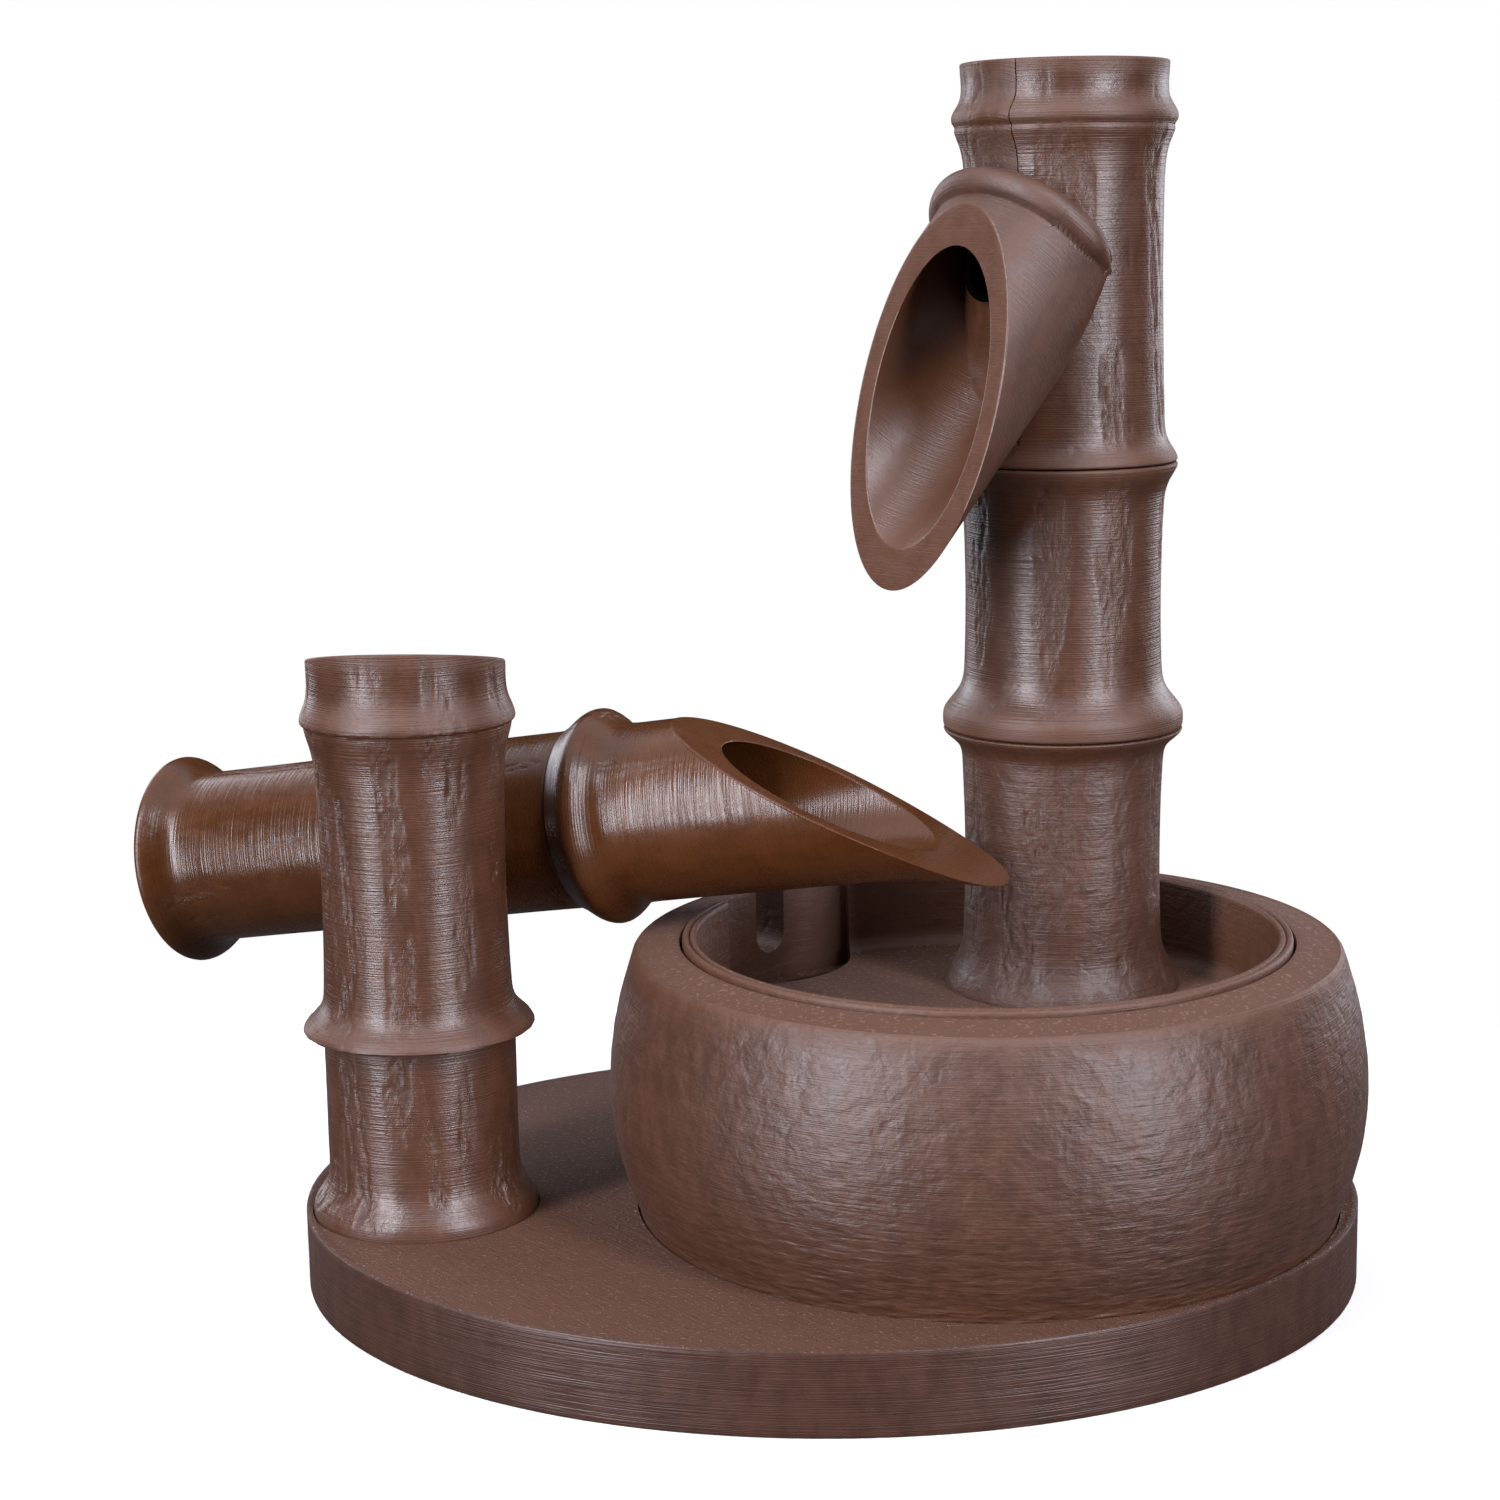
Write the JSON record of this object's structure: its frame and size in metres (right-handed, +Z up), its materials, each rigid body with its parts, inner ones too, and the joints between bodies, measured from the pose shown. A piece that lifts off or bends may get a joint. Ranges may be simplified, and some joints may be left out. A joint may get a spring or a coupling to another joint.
{
  "type": "tabletop fountain",
  "caption": "Tabletop fountain: bellied bowl with a basin, a bamboo column with a slanted spout, and a rocking bamboo scoop on a post, all on an oval plate.",
  "frame": {"origin": "centre of the oval plate's underside, on the table", "axes": "+X along the plate's long axis, from the post towards the bowl; +Y from the front to the back; +Z up"},
  "size_m": [0.2157, 0.151, 0.2012],
  "materials": {
    "brown_print": "matte, bark-like relief",
    "saddle_print": "satin, fine layer lines across",
    "steel": "fine brushed",
    "black_hose": "black, flexible, satin",
    "pump_shell": "fine matte",
    "slider_blue": "fine matte",
    "pump_grey": "fine matte",
    "black_rubber": "matte",
    "white_plastic": "satin",
    "ferrite": "dull, dark grey",
    "ceramic": "smooth, off-white",
    "copper_core": "varnished winding on a dark core",
    "soft_clear": "milky, soft"
  },
  "bodies": {
    "stand": {"base_plate": "brown_print", "bowl": "brown_print", "basin": "brown_print", "column_middle": "brown_print", "column_top": "brown_print", "spout": "brown_print", "post": "brown_print", "pivot_pin": "steel", "pivot_washer": "steel", "pin_cap": "brown_print", "stop_peg": "steel", "riser_hose": "black_hose", "pump_housing": "pump_shell", "pump_cover": "pump_shell", "impeller_plate": "pump_grey", "pump_seal": "black_rubber", "impeller_shaft": "ceramic", "stator": "copper_core", "pump_end_cap": "pump_shell", "cable_gland": "black_rubber", "outlet_nozzle": "pump_grey", "suction_cups": "soft_clear"},
    "rocker": {"rocker_tail": "saddle_print", "rocker_scoop": "saddle_print", "tail_plug": "saddle_print", "rocker_ballast": "steel", "pivot_sleeve": "steel"},
    "rotor": {"impeller": "white_plastic", "rotor_magnet": "ferrite"},
    "slider": {"flow_slider": "slider_blue"}
  },
  "joints": [
    {"name": "rocker_tip", "type": "hinge", "parent": "stand", "child": "rocker", "pos_m": [-0.05635, 0.02137, 0.0718], "axis": [0.3387, 0.9409, 0], "range_deg": [0, 4]},
    {"name": "impeller_spin", "type": "hinge", "parent": "stand", "child": "rotor", "pos_m": [0.03825, 0.01298, 0.025], "axis": [-0.8387, 0.5446, 0], "continuous": true},
    {"name": "flow_slide", "type": "slide", "parent": "stand", "child": "slider", "axis": [-0.5446, -0.8387, 0], "range_m": [0, 0.0024]}
  ]
}
